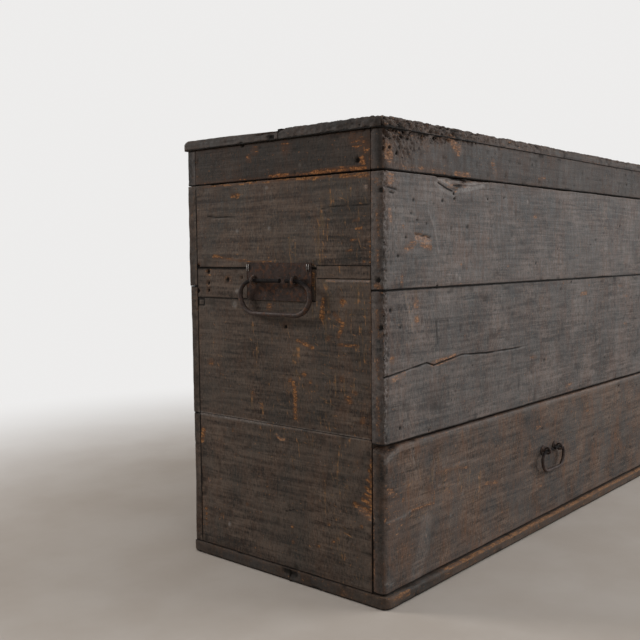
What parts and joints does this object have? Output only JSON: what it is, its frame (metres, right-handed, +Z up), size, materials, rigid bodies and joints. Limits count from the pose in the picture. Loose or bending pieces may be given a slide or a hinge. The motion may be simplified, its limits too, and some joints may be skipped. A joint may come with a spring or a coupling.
{
  "type": "ship chest",
  "caption": "Old plank-built ship chest with a hinged slab-topped lid, a full-width drawer at the foot and iron bail handles on its ends.",
  "frame": {"origin": "centre of the chest's footprint, on the underside of the base", "axes": "+X along the chest's width towards its right end, -Y out of its front, +Z up"},
  "size_m": [0.9788, 0.3999, 0.6401],
  "materials": {
    "aged_wood": "dark smoked and waxed softwood, worn and pitted",
    "inner_wood": "bare, dry, age-browned softwood",
    "wrought_iron": "hand-forged iron with a dark brown rust skin"
  },
  "bodies": {
    "carcass": {"base_front_board": "aged_wood", "base_back_board": "aged_wood", "left_end_wide_strip": "aged_wood", "left_end_narrow_strip": "aged_wood", "left_end_upper_board": "aged_wood", "left_end_middle_board": "aged_wood", "left_end_lower_board": "aged_wood", "right_end_upper_board": "aged_wood", "right_end_middle_board": "aged_wood", "right_end_lower_board": "aged_wood", "front_upper_board": "aged_wood", "front_middle_board": "aged_wood", "back_upper_board": "aged_wood", "back_middle_board": "aged_wood", "back_lower_board": "aged_wood", "compartment_floor_front_board": "inner_wood", "compartment_floor_back_board": "inner_wood", "left_handle_plate": "wrought_iron", "left_handle_front_eye": "wrought_iron", "left_handle_back_eye": "wrought_iron", "right_handle_plate": "wrought_iron", "right_handle_front_eye": "wrought_iron", "right_handle_back_eye": "wrought_iron", "left_hinge_body_leaf": "wrought_iron", "left_hinge_pin": "wrought_iron", "right_hinge_body_leaf": "wrought_iron", "right_hinge_pin": "wrought_iron"},
    "lid": {"lid_front_rim": "aged_wood", "lid_back_rim": "aged_wood", "lid_left_rim": "aged_wood", "lid_right_rim": "aged_wood", "lid_top_front_board": "aged_wood", "lid_top_back_board": "aged_wood", "lid_left_batten": "inner_wood", "lid_right_batten": "inner_wood", "left_hinge_lid_leaf": "wrought_iron", "right_hinge_lid_leaf": "wrought_iron"},
    "drawer": {"drawer_front": "aged_wood", "drawer_left_side": "inner_wood", "drawer_right_side": "inner_wood", "drawer_back": "inner_wood", "drawer_bottom": "inner_wood", "drawer_pull_left_eye": "wrought_iron", "drawer_pull_right_eye": "wrought_iron"},
    "drawer_pull": {"drawer_pull_bail": "wrought_iron"},
    "left_handle": {"left_handle_bail": "wrought_iron"},
    "right_handle": {"right_handle_bail": "wrought_iron"}
  },
  "joints": [
    {"name": "lid_hinge", "type": "hinge", "parent": "carcass", "child": "lid", "pos_m": [0, 0.1924, 0.57045], "axis": [-1, 0, 0], "range_deg": [0, 180]},
    {"name": "drawer_slide", "type": "slide", "parent": "carcass", "child": "drawer", "axis": [0, -1, 0], "range_m": [0, 0.27]},
    {"name": "drawer_pull_swing", "type": "hinge", "parent": "drawer", "child": "drawer_pull", "pos_m": [0, -0.1958, 0.13298], "axis": [-1, 0, 0], "range_deg": [-8, 188]},
    {"name": "left_handle_swing", "type": "hinge", "parent": "carcass", "child": "left_handle", "pos_m": [-0.481, -0.005, 0.4285], "axis": [0, 1, 0], "range_deg": [-8, 188]},
    {"name": "right_handle_swing", "type": "hinge", "parent": "carcass", "child": "right_handle", "pos_m": [0.481, -0.005, 0.4285], "axis": [0, -1, 0], "range_deg": [-8, 188]}
  ]
}
